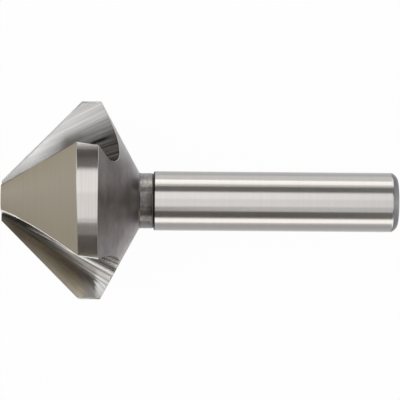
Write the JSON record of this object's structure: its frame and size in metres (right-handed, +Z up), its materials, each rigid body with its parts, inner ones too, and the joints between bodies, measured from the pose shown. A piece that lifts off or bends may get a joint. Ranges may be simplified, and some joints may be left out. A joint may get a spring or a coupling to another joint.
{
  "type": "countersink",
  "caption": "Straight-shank countersink with a ninety degree cutting cone, relieved lands and ground flutes, lying on its side.",
  "frame": {"origin": "middle of the footprint on the surface that the tool lies on", "axes": "+X lengthwise from the nose to the shank's end, +Z up, with one flute facing down"},
  "size_m": [0.1002, 0.05, 0.0476],
  "materials": {
    "tool_steel": "ground steel: fine grinding lines round the cone and shank and along the flutes"
  },
  "bodies": {
    "root": {"countersink": "tool_steel"}
  },
  "joints": []
}
